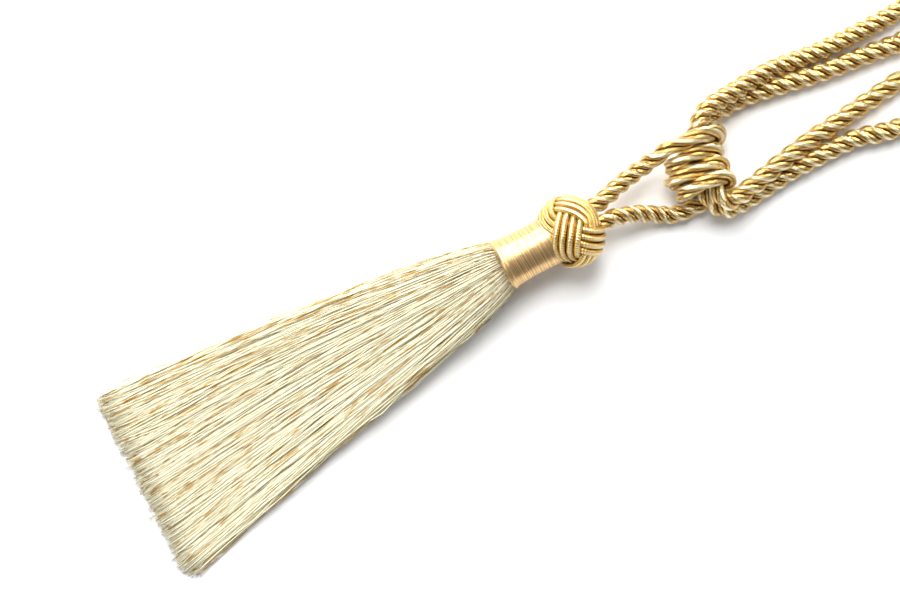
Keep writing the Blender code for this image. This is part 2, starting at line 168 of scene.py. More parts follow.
COIL_HUG = (1.7, 3)              # how squarely the turns go round the left and right ropes
# Where something begins, and the length over which it grows. FIRST_TURNS and BELLY_TO are places
# along the axis. LAST_TURNS and BELLY_FROM count against it.
FIRST_TURNS, LAST_TURNS = (0.002, 0.006), (0.003, 0.003)
BELLY_TO, BELLY_FROM = (-0.0115, 0.004), (-0.004, 0.012)
FIRST_SLACK, LAST_SLACK = 0.0015, 0.0003   # by which the coil stands further out there
LEFT_BULGE, BELLY_BULGE = 0.0008, 0.0022   # of its left side, and more at its belly
KNOT_UNTWIST = 0.42              # share of its twist left to the rope wound in the knot
KNOT_THICKNESS = 0.0075          # of both ropes where the knot squeezes them
KNOT_INSIDE = 0.013              # from the knot's middle, where the ropes are still tight
KNOT_EASE = 0.011                # the length over which they recover their thickness

# Stage.
VIEW_MIDDLE = (-0.0626, 0.0020)  # the point of the floor under the camera
VIEW_RIGHT = (0.852, -0.523)     # the camera's right-hand direction on the floor
SENSOR_WIDTH = 36.0              # of the camera, in millimetres
FLOOR_REACH = 4.0
ROOM_LIGHT = 0.20                # strength of the even light from all round
# Each soft box: how far to the camera's right and up it stands, its height, size and power.
SOFT_BOXES = (
    ("key_softbox", -0.2, 1.5, 2.2, 1.7, 98.0),
    ("low_softbox", -0.5, 2.8, 1.05, 0.7, 66.0),
    ("right_softbox", 2.1, 1.3, 1.6, 1.3, 18.0),
    ("left_softbox", -2.1, -1.3, 1.6, 1.3, 18.0),
)

# Routes, as points (X, Y, Z) along the middle of the rope.
UPPER_LEG = [
    (0.0116, 0.0042, 0.0166), (0.0165, 0.0042, 0.0166), (0.0215, 0.0048, 0.0157),
    (0.0280, 0.0061, 0.0142), (0.0355, 0.0071, 0.0136), (0.0455, 0.0079, 0.0152),
    (0.0511, 0.0084, 0.0189), (0.0560, 0.0087, 0.0214),
]
LOWER_LEG = [
    (0.0621, -0.0201, 0.0039), (0.0581, -0.0198, 0.0037), (0.0542, -0.0201, 0.0037),
    (0.0495, -0.0193, 0.0039), (0.0440, -0.0182, 0.0039), (0.0390, -0.0156, 0.0045),
    (0.0340, -0.0122, 0.0069), (0.0285, -0.0089, 0.0105), (0.0220, -0.0061, 0.0144),
    (0.0165, -0.0043, 0.0165), (0.0116, -0.0043, 0.0165),
]
UPPER_ARM_OUT = [
    (0.0718, 0.0108, 0.0163), (0.0754, 0.0131, 0.0156), (0.0801, 0.0147, 0.0150),
    (0.0863, 0.0151, 0.0136), (0.0926, 0.0150, 0.0122), (0.0991, 0.0152, 0.0110),
    (0.1089, 0.0149, 0.0080), (0.1188, 0.0139, 0.0049), (0.1378, 0.0104, 0.0038),
    (0.1586, 0.0083, 0.0038), (0.1782, 0.0075, 0.0038), (0.2050, 0.0088, 0.0038),
    (0.2350, 0.0120, 0.0038), (0.2650, 0.0164, 0.0038), (0.2920, 0.0186, 0.0038),
]
UPPER_ARM_END = [
    (0.3130, 0.0150, 0.0038), (0.3225, 0.0040, 0.0038), (0.3135, -0.0075, 0.0038),
]
UPPER_ARM_BACK = [
    (0.2930, -0.0118, 0.0038), (0.2650, -0.0110, 0.0038), (0.2350, -0.0096, 0.0038),
    (0.2050, -0.0082, 0.0038), (0.1706, -0.0050, 0.0038), (0.1595, -0.0029, 0.0038),
    (0.1460, -0.0006, 0.0038), (0.1324, 0.0020, 0.0038), (0.1203, 0.0051, 0.0038),
    (0.1107, 0.0075, 0.0038), (0.1036, 0.0093, 0.0038), (0.0964, 0.0109, 0.0038),
    (0.0892, 0.0112, 0.0046), (0.0833, 0.0114, 0.0066), (0.0794, 0.0112, 0.0076),
    (0.0762, 0.0097, 0.0086),
]
LOWER_ARM_OUT = [
    (0.0643, -0.0204, 0.0170), (0.0645, -0.0236, 0.0169), (0.0668, -0.0257, 0.0159),
    (0.0706, -0.0259, 0.0145), (0.0746, -0.0256, 0.0132), (0.0785, -0.0253, 0.0120),
    (0.0828, -0.0249, 0.0112), (0.0882, -0.0240, 0.0104), (0.0942, -0.0232, 0.0098),
    (0.1043, -0.0222, 0.0079), (0.1151, -0.0213, 0.0053), (0.1238, -0.0211, 0.0038),
    (0.1412, -0.0202, 0.0038), (0.1619, -0.0194, 0.0038), (0.1850, -0.0200, 0.0038),
    (0.2100, -0.0225, 0.0038), (0.2380, -0.0262, 0.0038), (0.2650, -0.0284, 0.0038),
]
LOWER_ARM_END = [
    (0.2890, -0.0322, 0.0038), (0.2985, -0.0432, 0.0038), (0.2895, -0.0545, 0.0038),
]
LOWER_ARM_BACK = [
    (0.2670, -0.0590, 0.0038), (0.2400, -0.0562, 0.0038), (0.2100, -0.0497, 0.0038),
    (0.1800, -0.0431, 0.0038), (0.1509, -0.0377, 0.0038), (0.1402, -0.0348, 0.0038),
    (0.1320, -0.0318, 0.0038), (0.1230, -0.0304, 0.0038), (0.1139, -0.0297, 0.0038),
    (0.1046, -0.0291, 0.0038), (0.0963, -0.0287, 0.0038), (0.0876, -0.0289, 0.0038),
    (0.0790, -0.0293, 0.0038), (0.0751, -0.0294, 0.0042), (0.0710, -0.0294, 0.0054),
    (0.0669, -0.0290, 0.0072), (0.0635, -0.0273, 0.0089), (0.0608, -0.0244, 0.0104),
    (0.0597, -0.0205, 0.0115),
]


# Sizes and colours


def length_setting(name, description, default, low, high):
    return FloatProperty(
        name=name, description=description, default=default, min=low, max=high,
        unit="LENGTH", subtype="DISTANCE")


def colour_setting(name, description, default):
    return FloatVectorProperty(
        name=name, description=description, default=default, min=0, max=1,
        subtype="COLOR", size=3)


class RopeSettings(bpy.types.PropertyGroup):
    diameter: length_setting(
        "Diameter", "Thickness of the embrace rope over the crests of its strands",
        0.0092, 0.003, 0.02)
    loop_diameter: length_setting(
        "Loop diameter", "Thickness of the loop rope, which is pulled tighter",
        0.0084, 0.003, 0.02)
    lay: length_setting(
        "Lay", "Usual length of one full twist of the three strands", 0.0206, 0.008, 0.08)
    # The light colour is a painted highlight over the crown of each strand.
    light: colour_setting(
        "Painted highlight", "Colour of the rope where the satin catches the light", (0.98, 0.86, 0.54))
    gold: colour_setting("Gold yarn", "Main colour of the rope", (0.80, 0.54, 0.17))
    # The amber colour is painted reflected light, low on the sides of the strands.
    reflected_amber: colour_setting(
        "Reflected amber", "Colour low on the sides of the strands", (0.96, 0.66, 0.23))
    # The groove colour is painted shade between the strands.
    groove_shade: colour_setting("Groove shade", "Colour between the strands", (0.16, 0.066, 0.008))


class HeadSettings(bpy.types.PropertyGroup):
    cords: IntProperty(
        name="Cords", description="Cords side by side in the plaited band",
        default=4, min=2, max=6)
    cord_width: length_setting(
        "Cord spacing", "Spacing of the cords in the band", 0.0040, 0.001, 0.006)
    # The crown colour is a painted highlight. The shade colour is painted shade between the cords
    # and on the former.
    crown: colour_setting(
        "Crown", "Colour of the cords where they stand highest", (0.98, 0.80, 0.40))
    flank: colour_setting("Flank", "Colour of the cords down their sides", (0.74, 0.44, 0.10))
    shade: colour_setting(
        "Shade", "Colour between the cords and of the former", (0.12, 0.050, 0.008))


class CollarSettings(bpy.types.PropertyGroup):
    turns: IntProperty(
        name="Turns", description="Turns of thread wound along the collar",
        default=58, min=20, max=90)
    thread: colour_setting("Thread", "Colour of the wound satin thread", (0.86, 0.57, 0.26))


class FringeSettings(bpy.types.PropertyGroup):
    yarns: IntProperty(
        name="Yarns", description="Yarns in the fringe",
        default=1800, min=100, max=2000)
    yarn_width: length_setting(
        "Yarn width", "Thickness of one fringe yarn at its loose end", 0.00056, 0.0003, 0.003)
    length: length_setting(
        "Length", "Length of the fringe from the collar to its cut ends", 0.1850, 0.05, 0.4)
    half_spread: length_setting(
        "Half spread", "Half the width of the fringe at its cut ends", 0.0455, 0.01, 0.1)
    cream: colour_setting("Cream", "Main colour of the fringe yarns", (1.0, 0.94, 0.68))
    honey: colour_setting("Honey", "Colour of the darker fringe yarns", (0.58, 0.34, 0.08))


class StageSettings(bpy.types.PropertyGroup):
    view_width: length_setting(
        "View width", "Width of floor that the camera takes in", 0.405, 0.1, 3.0)
    lens: FloatProperty(
        name="Lens", description="Focal length of the camera in millimetres",
        default=120.0, min=20, max=300)
    turn: FloatProperty(
        name="Turn", description="Turn of the camera about the vertical",
        default=math.atan2(VIEW_RIGHT[1], VIEW_RIGHT[0]), min=-math.pi, max=math.pi,
        unit="ROTATION", subtype="ANGLE")
    floor: colour_setting("Floor", "Colour of the pale floor", (0.93, 0.93, 0.93))


# Shader maths


class Value:
    """A shader socket that takes part in ordinary arithmetic."""

    def __init__(self, finish, socket):
        self.finish = finish
        self.socket = socket

    def maths(self, operation, other=0.0):
        return self.finish.add(
            "ShaderNodeMath", {"operation": operation}, {0: self, 1: other})

    def __add__(self, other):
        return self.maths("ADD", other)

    def __sub__(self, other):
        return self.maths("SUBTRACT", other)

    def __mul__(self, other):
        return self.maths("MULTIPLY", other)

    def fraction(self):
        return self.maths("FRACT")

    def size(self):
        return self.maths("ABSOLUTE")

    def wave(self):
        """A sine wave that repeats once for each whole number."""
        return (self * (2 * math.pi)).maths("SINE")


class Finish:
    """A material and the nodes that make its finish."""

    def __init__(self, name, **constants):
        self.material = bpy.data.materials.new(name)
        self.material.use_nodes = True
        self.tree = self.material.node_tree
        self.shader = self.tree.nodes["Principled BSDF"]
        for socket, value in constants.items():
            self.shader.inputs[socket.replace("_", " ")].default_value = value

    def add(self, kind, settings=None, inputs=None, output=0):
        node = self.tree.nodes.new(kind)
        for name, value in (settings or {}).items():
            if name == "stops":
                set_stops(node.color_ramp, value)
            else:
                setattr(node, name, value)
        for name, value in (inputs or {}).items():
            if isinstance(value, Value):
                self.tree.links.new(value.socket, node.inputs[name])
            else:
                node.inputs[name].default_value = value
        return Value(self, node.outputs[output])

    def parts_of(self, vector):
        node = self.add("ShaderNodeSeparateXYZ", None, {0: vector}).socket.node
        return [Value(self, socket) for socket in node.outputs]

    def uv(self):
        return self.parts_of(self.add("ShaderNodeUVMap", {"uv_map": "UVMap"}))

    def place(self):
        return self.add("ShaderNodeTexCoord", output="Object")

    def attribute(self, name):
        return self.add(
            "ShaderNodeAttribute", {"attribute_type": "GEOMETRY", "attribute_name": name},
            output="Fac")

    def mottle(self, scale):
        """Soft unevenness all over the surface, about 0.5 on average."""
        return self.add("ShaderNodeTexNoise", None, {
            "Vector": self.place(), "Scale": scale, "Detail": 3.0, "Roughness": 0.6})

    def streaks(self, place, detail, roughness):
        """Unevenness that changes only with the given place."""
        return self.add("ShaderNodeTexNoise", {"noise_dimensions": "1D"}, {
            "W": place, "Scale": 1.0, "Detail": detail, "Roughness": roughness})

    def mix(self, share, first, second):
        return self.add(
            "ShaderNodeMix", {"data_type": "RGBA"}, {0: share, 6: first, 7: second}, 2)

    def ramp(self, value, stops):
        return self.add("ShaderNodeValToRGB", {"stops": stops}, {0: value})

    def shade(self, name, value):
        self.tree.links.new(value.socket, self.shader.inputs[name])

    def bump(self, height, distance, strength=1.0):
        self.shade("Normal", self.add("ShaderNodeBump", None, {
            "Height": height, "Distance": distance, "Strength": strength}))


def set_stops(ramp, stops):
    """Give a colour ramp its stops, as (position, colour or grey)."""
    while len(ramp.elements) < len(stops):
        ramp.elements.new(1.0)
    for element, (position, colour) in zip(ramp.elements, stops):
        element.position = position
        element.color = (*colour, 1) if isinstance(colour, tuple) else (colour,) * 3 + (1,)


def rgba(colour):
    return (*colour[:], 1.0)


# Shared shapes


def smooth_route(points, samples=12):
    """A Catmull-Rom curve through the points, as many short steps."""
    knots = [Vector(point) for point in points]
    knots = [2 * knots[0] - knots[1]] + knots + [2 * knots[-1] - knots[-2]]
    route = []
    for before, start, end, after in zip(knots, knots[1:], knots[2:], knots[3:]):
        for step in range(samples):
            t = step / samples
            pull = (end - before) * t + (2 * before - 5 * start + 4 * end - after) * t ** 2
            pull += (3 * start - before - 3 * end + after) * t ** 3
            route.append(start + 0.5 * pull)
    route.append(knots[-2])
    return route


def route_length(route):
    return sum((b - a).length for a, b in zip(route, route[1:]))


def even_steps(route, step):
    """The same route with its points one step apart."""
    count = max(2, round(route_length(route) / step))
    spacing = route_length(route) / count
    points = [route[0]]
    travelled = 0.0
    for a, b in zip(route, route[1:]):
        length = (b - a).length
        while length > 0 and travelled + length >= spacing * len(points) - 1e-9:
            share = (spacing * len(points) - travelled) / length
            points.append(a.lerp(b, min(max(share, 0.0), 1.0)))
            if len(points) > count:
                return points
        travelled += length
    return points


def placed(name, data):
    """A new object in the scene."""
    thing = bpy.data.objects.new(name, data)
    bpy.context.scene.collection.objects.link(thing)
    return thing


def mesh_of(name, bm):
    """A mesh with the bmesh's shape, which is used up."""
    mesh = bpy.data.meshes.new(name)
    bm.to_mesh(mesh)
    bm.free()
    return mesh


def round_points(radius, sides):
    """Corners of a round outline, clockwise."""
    turns = [-index * 2 * math.pi / sides for index in range(sides)]
    return [(radius * math.cos(turn), radius * math.sin(turn)) for turn in turns]


def flat_outline(name, points):
    """A closed flat curve, drawn clockwise, for other curves to be swept with."""
    data = bpy.data.curves.new(name, "CURVE")
    data.dimensions = "2D"
    spline = data.splines.new("POLY")
    spline.points.add(len(points) - 1)
    spline.use_cyclic_u = True
    for index, (x, y) in enumerate(points):
        spline.points[index].co = (x, y, 0, 1)
    return placed(name, data)


def swept(name, outline, routes, cyclic=False, tilts=None, widths=None):
    """One mesh of an outline swept along each route, with a UV map that runs along and around."""
    data = bpy.data.curves.new(name, "CURVE")
    data.dimensions = "3D"
    data.twist_mode = "MINIMUM"
    data.bevel_mode = "OBJECT"
    data.bevel_object = outline
    data.use_fill_caps = not cyclic
    for route in routes:
        spline = data.splines.new("POLY")
        spline.points.add(len(route) - 1)
        spline.use_cyclic_u = cyclic
        places = np.hstack([np.array(route), np.ones((len(route), 1))])
        spline.points.foreach_set("co", places.ravel())
        if tilts is not None:
            spline.points.foreach_set("tilt", tilts)
        if widths is not None:
            spline.points.foreach_set("radius", widths)
    guide = placed(name, data)
    bpy.context.view_layer.update()
    depsgraph = bpy.context.evaluated_depsgraph_get()
    mesh = bpy.data.meshes.new_from_object(guide.evaluated_get(depsgraph))
    bpy.data.objects.remove(guide, do_unlink=True)
    bpy.data.objects.remove(outline, do_unlink=True)
    mesh.name = name
    bm = bmesh.new()
    bm.from_mesh(mesh)
    bmesh.ops.remove_doubles(bm, verts=bm.verts, dist=1e-7)
    bm.to_mesh(mesh)
    bm.free()
    return mesh


def finished(name, mesh, material, slot, *nodes):
    """Put a piece in the scene: smooth, with its finish, riding on the part."""
    mesh.materials.clear()
    mesh.materials.append(material)
    mesh.shade_smooth()
    piece = placed(name, mesh)
    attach(piece, "root")
    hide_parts(*nodes)
    return piece


# Ropes


def knot_point(across, along, height):
    """A point given in the coil knot's own directions."""
    x = KNOT_MIDDLE[0] + across * KNOT_AXIS[1] + along * KNOT_AXIS[0]
    y = KNOT_MIDDLE[1] - across * KNOT_AXIS[0] + along * KNOT_AXIS[1]
    return (x, y, height)


def eased(value, start, length):
    """Rises from 0 at the start to 1 over a length."""
    return min(max((value - start) / length, 0), 1)


def pair_point(side, along):
    """Where the left (-1) or right (1) of the two ropes inside the knot is: across, and height."""
    places = [row[0] for row in KNOT_PAIR]
    first = 1 if side < 0 else 3
    across = float(np.interp(along, places, [row[first] for row in KNOT_PAIR]))
    height = float(np.interp(along, places, [row[first + 1] for row in KNOT_PAIR]))
    return across, height


def coil_route():
    """Turns of rope pulled tight round the two ropes inside."""
    count = round((COIL_LAST - COIL_FIRST) / COIL_STEP)
    points = []
    for step in range(count + 1):
        turn = COIL_FIRST + (COIL_LAST - COIL_FIRST) * step / count
        out, lift = -math.cos(math.radians(turn)), math.sin(math.radians(turn))
        turns = (turn - 180) / 360 - COIL_LEVEL * out / (2 * math.pi)
        along = COIL_START - COIL_PITCH * turns + COIL_LEAN * COIL_REACH * lift
        left, left_height = pair_point(-1, along)
        right, right_height = pair_point(1, along)
        half, rise = (right - left) / 2, (right_height - left_height) / 2
        hug = COIL_HUG[0] if out < 0 else COIL_HUG[1]
        share = math.tanh(hug * (out * half + lift * rise) / math.hypot(half, rise))
        reach = COIL_REACH + FIRST_SLACK * eased(along, *FIRST_TURNS)
        reach += LAST_SLACK * eased(-along, *LAST_TURNS)
        belly = eased(-along, *BELLY_FROM) * eased(along, *BELLY_TO)
        bulge = (LEFT_BULGE + BELLY_BULGE * belly) * max(-out, 0) ** 2
        across = (left + right) / 2 + half * share + reach * out - bulge
        height = (left_height + right_height) / 2 + rise * share + reach * lift
        points.append(knot_point(across, along, height))
    return points


def inside_knot(side, places):
    """One of the two ropes inside the knot, at these places along the axis."""
    points = []
    for along in places:
        across, height = pair_point(side, along)
        points.append(knot_point(across, along, height))
    return points


def tightness(place, tight):
    """A share that is this low in the middle of the knot and 1 outside it."""
    away = math.hypot(place.x - KNOT_MIDDLE[0], place.y - KNOT_MIDDLE[1])
    return tight + (1 - tight) * eased(away, KNOT_INSIDE, KNOT_EASE)


def loop_route():
    """From the head up the first leg, round the coil knot and back down the second leg."""
    coil = [Vector(point) for point in coil_route()]
    upper = smooth_route(UPPER_LEG + [tuple(coil[0]), tuple(coil[3])])
    lower = smooth_route([tuple(coil[-4]), tuple(coil[-1])] + LOWER_LEG)
    upper_end = min(range(len(upper)), key=lambda i: (upper[i] - coil[0]).length)
    lower_start = min(range(len(lower)), key=lambda i: (lower[i] - coil[-1]).length)
    return upper[:upper_end] + coil + lower[lower_start + 1:]


def embrace_route(rope):
    """Out of the knot and back through it twice, round each arm's end, with the lay on the way."""
    places = [row[0] for row in KNOT_PAIR]
    half = len(places) // 2
    into = inside_knot(-1, [RING_GAP] + places[half + 1:])
    middle = inside_knot(1, places[::-1])
    out = inside_knot(-1, places[:half] + [-RING_GAP])
    stretches = (
        (into, rope.lay), (UPPER_ARM_OUT, TIGHT_LAY), (UPPER_ARM_END + UPPER_ARM_BACK, rope.lay),
        (middle, rope.lay), (LOWER_ARM_OUT, SLACK_LAY), (LOWER_ARM_END + LOWER_ARM_BACK, rope.lay),
        (out, rope.lay))
    route = smooth_route([point for points, _ in stretches for point in points])
    lays = [lay for points, lay in stretches for _ in points]
    stations = np.linspace(0, len(lays) - 1, len(route))
    return route, np.interp(stations, range(len(lays)), lays)


def strand_points(diameter):
    """Outline of the laid rope: round strands that meet in narrow grooves."""
    strand = STRAND_SIZE * diameter / 2
    middle = diameter / 2 - strand
    half = math.radians(180 / STRANDS)
    reach = half + math.asin(middle * math.sin(half) / strand)
    points = []
    for index in range(STRANDS):
        heading = -index * 2 * math.pi / STRANDS
        for step in range(STRAND_STEPS):
            turn = heading + reach - 2 * reach * step / STRAND_STEPS
            points.append((
                middle * math.cos(heading) + strand * math.cos(turn),
                middle * math.sin(heading) + strand * math.sin(turn)))
    return points


def twist_rates(route, points, lays):
    """Turn of the strands from each even point to the next, from the lay along the route."""
    steps = [(b - a).length for a, b in zip(route, route[1:])]
    reached = np.concatenate([[0.0], np.cumsum(steps)])
    spacing = reached[-1] / (len(points) - 1)
    here = np.interp(np.arange(len(points)) * spacing, reached, lays)
    return 2 * math.pi * spacing / here


def laid_rope(name, route, diameter, lays, rope, material, untwist, *nodes):
    """A laid rope along a route, that ends in the part itself."""
    points = even_steps(route, rope.lay / TWIST_STEPS)
    for place in points:
        place.z = max(place.z, diameter * ROPE_REST)
    outline = flat_outline(name + "_outline", strand_points(diameter))
    widths = [tightness(place, KNOT_THICKNESS / diameter) for place in points]
    slack = np.array([tightness(place, untwist) for place in points])
    tilts = np.cumsum(twist_rates(route, points, lays) * slack)
    mesh = swept(name, outline, [points], tilts=tilts, widths=widths)
    piece = finished(name, mesh, material, "twisted_rope", *nodes)
    route_length(points)
    return piece


def satin_rope(name, rope, length):
    """Satin strands with their light and shade painted in: a painted highlight over each crown, a
    painted dark reflection and then painted amber reflected light down the sides, and painted shade
    in the grooves.
    """
    finish = Finish(name, Roughness=0.20, Metallic=0.85)
    along, around, _ = finish.uv()
    strand = (around * STRANDS).fraction()
    edge = (strand - 0.5).size() * 2
    uneven = (finish.mottle(260.0) - 0.5) * 0.06
    # The dark band beside the highlight is a painted dark reflection, half gold and half the
    # groove's painted shade.
    shade = tuple(0.5 * a + 0.5 * b for a, b in zip(rope.gold, rope.groove_shade))
    ribs = (along * (length / RIB_SPACING) + strand * RIB_SLANT).wave()
    # Across each strand from its crown: painted highlight, painted dark reflection, painted
    # reflected amber, painted groove shade.
    finish.shade("Base Color", finish.ramp(edge + uneven + ribs * 0.05, [
        (0.20, rope.light[:]), (0.36, shade), (0.44, shade), (0.54, rope.reflected_amber[:]),
        (0.74, rope.reflected_amber[:]), (0.90, rope.groove_shade[:])]))
    finish.bump(ribs, 0.00016, 0.7)
    return finish.material


# Head


def band_direction(turn, offset):
    """Direction from the head's middle of a cord that keeps its place in the plaited band."""
    def middle(t):
        latitude = KNOT_MID_LATITUDE + KNOT_SWING * math.cos(KNOT_BIGHTS * t / KNOT_LEADS)
        longitude = t + KNOT_TURN
        return Vector((
            math.sin(latitude), math.cos(latitude) * math.sin(longitude),
            math.cos(latitude) * math.cos(longitude)))
    here = middle(turn)
    ahead = middle(turn + 0.01) - middle(turn - 0.01)
    sideways = here.cross(ahead).normalized()
    return (here + sideways * (offset / HEAD_RADIUS)).normalized()


def plaited_routes(head):
    """The middle line of each cord of the woven knot, over and under its neighbours."""
    routes = []
    sunk = CORD_DEPTH * head.cord_width
    for cord in range(head.cords):
        offset = (cord - (head.cords - 1) / 2) * head.cord_width
        route = []
        for step in range(CORD_STEPS * KNOT_LEADS):
            turn = 2 * math.pi * step / CORD_STEPS
            lift = BAND_LIFT * math.sin(2 * KNOT_BIGHTS * turn / KNOT_LEADS)
            direction = band_direction(turn, offset)
            depth = lift - BAND_LIFT - sunk
            route.append(HEAD_CENTRE + Vector((
                direction.x * (HEAD_HALF_LENGTH + depth),
                direction.y * (HEAD_RADIUS + depth),
                direction.z * (HEAD_RADIUS + depth))))
        routes.append(route)
    return routes


def mark_crowns(mesh, routes, reach):
    """Note at each vertex how squarely it faces out from the head: 1 on a cord's crown."""
    places = [place for route in routes for place in route]
    tree = KDTree(len(places))
    for index, place in enumerate(places):
        tree.insert(place, index)
    tree.balance()
    crown = mesh.attributes.new("crown", "FLOAT", "POINT")
    for vert in mesh.vertices:
        middle = tree.find(vert.co)[0]
        out = (middle - HEAD_CENTRE).normalized()
        crown.data[vert.index].value = (vert.co - middle).dot(out) / reach


def plaited_cord(head, length):
    """Satin-wrapped cord: a painted highlight over its crown, gold down its flanks, and painted
    shade where it sinks between its neighbours.
    """
    finish = Finish(
        "satin_plaited_cord", Roughness=0.24, Metallic=0.75, Coat_Weight=0.1,
        Coat_Roughness=0.15)
    along, around, _ = finish.uv()
    crown = finish.attribute("crown") + (finish.mottle(330.0) - 0.5) * 0.2
    # Painted shade where a cord sinks between its neighbours, going over to the gold flank higher
    # up.
    colour = finish.mix(
        finish.ramp(crown, [(0.10, 0.0), (0.60, 1.0)]), rgba(head.shade), rgba(head.flank))
    # A painted highlight over the crown of each cord.
    finish.shade("Base Color", finish.mix(
        finish.ramp(crown, [(0.80, 0.0), (0.98, 1.0)]), colour, rgba(head.crown)))
    turns = (along * (length / THREAD_SPACING) + around * THREAD_SLANT).wave()
    finish.bump(turns, 0.00012, 0.7)
    return finish.material


def head_core(head):
    """The round former under the plait, which closes the small gaps between its cords."""
    bm = bmesh.new()
    bmesh.ops.create_uvsphere(bm, u_segments=48, v_segments=32, radius=1.0)
    depth = 2 * BAND_LIFT + CORE_DEPTH * head.cord_width
    bmesh.ops.scale(bm, verts=bm.verts, vec=(
        HEAD_HALF_LENGTH - depth, HEAD_RADIUS - depth, HEAD_RADIUS - depth))
    bmesh.ops.translate(bm, verts=bm.verts, vec=HEAD_CENTRE)
    return mesh_of("head_core", bm)


def core_painted_shade(head):
    """Thread wound round the former, a little uneven, in painted shade: the dark seen through the
    gaps between the cords.
    """
    finish = Finish("painted_shade_core", Roughness=0.7)
    thread = finish.mottle(900.0)
    base = Vector(head.shade)
    finish.shade("Base Color", finish.mix(thread, rgba(0.5 * base), rgba(1.5 * base)))
    finish.bump(thread, 0.0001, 0.5)
    return finish.material


# Collar


def collar_radius(share):
    """Radius of the wound collar at a share of its length from the head."""
    for (a, low), (b, high) in zip(COLLAR_SHAPE, COLLAR_SHAPE[1:]):
        if share <= b:
            return low + (high - low) * (share - a) / (b - a)
    return COLLAR_SHAPE[-1][1]


def wound_collar(collar):
    """A sleeve of thread wound side by side, spun from one ridged edge."""
    bm = bmesh.new()
    start, end = HEAD_COLLAR_FACE + COLLAR_OVERLAP, COLLAR_END
    chance = random.Random(RING_SEED)
    verts = [bm.verts.new((start, 0, 0))]
    steps = collar.turns * RING_STEPS
    for step in range(steps + 1):
        share = step / steps
        ridge = abs(math.sin(math.pi * step / RING_STEPS)) * RING_HEIGHT
        wobble = chance.uniform(-RING_WOBBLE, RING_WOBBLE)
        radius = collar_radius(share) - RING_FOOT + ridge + wobble
        verts.append(bm.verts.new((start + (end - start) * share, 0, radius)))
    verts.append(bm.verts.new((end, 0, 0)))
    edges = [bm.edges.new(pair) for pair in zip(verts, verts[1:])]
    bmesh.ops.spin(
        bm, geom=verts + edges, axis=(1, 0, 0), cent=(0, 0, 0), angle=2 * math.pi,
        steps=COLLAR_SIDES, use_merge=True)
    bmesh.ops.remove_doubles(bm, verts=bm.verts, dist=1e-6)
    bmesh.ops.recalc_face_normals(bm, faces=bm.faces)
    bmesh.ops.rotate(
        bm, verts=bm.verts, cent=(start, 0, 0), matrix=Matrix.Rotation(COLLAR_SKEW, 3, "Z"))
    bmesh.ops.translate(bm, verts=bm.verts, vec=COLLAR_CENTRE)
    return mesh_of("wound_collar", bm)


def wound_thread(collar):
    """Satin thread wound close: fine lines round the collar, a little uneven in colour."""
    finish = Finish("wound_satin_thread", Roughness=0.32, Metallic=0.9)
    along, _, _ = finish.parts_of(finish.place())
    thread = finish.streaks(along * 1300.0, 2.0, 0.6)
    lines = finish.ramp(thread, [(0.35, 0.0), (0.65, 1.0)])
    base = Vector(collar.thread)
    finish.shade("Base Color", finish.mix(lines, rgba(0.64 * base), rgba(1.15 * base)))
    finish.bump(thread, 0.00015, 0.8)
    return finish.material


# Fringe


def root_places(count):
    """Places of the yarns across the bound root, spread evenly by the golden angle."""
    golden = math.pi * (3 - math.sqrt(5))
    places = []
    for index in range(count):
        radius = ROOT_RADIUS * math.sqrt((index + 0.5) / count)
        places.append((radius * math.cos(index * golden), radius * math.sin(index * golden)))
    return places


def fringe_routes(fringe):
    """A route for each yarn: out of the collar, fanning out and down on to the surface."""
    chance = random.Random(YARN_SEED)
    places = root_places(fringe.yarns)
    order = sorted(
        range(len(places)), key=lambda i: places[i][1] + chance.gauss(0, ROOT_SHUFFLE[0]))
    per_layer = math.ceil(len(order) / YARN_LAYERS)
    routes, tones = [], []
    for layer in range(YARN_LAYERS):
        members = order[layer * per_layer:(layer + 1) * per_layer]
        members.sort(key=lambda i: places[i][0] + chance.gauss(0, ROOT_SHUFFLE[1]))
        half = fringe.half_spread * (1.0 - LAYER_NARROWING * layer)
        for rank, index in enumerate(members):
            lane = -half + 2 * half * (rank + 0.5) / len(members)
            routes.append(yarn_route(fringe.length, chance, places[index], lane, layer))
            tones.append(chance.random() ** 2)
    return routes, tones


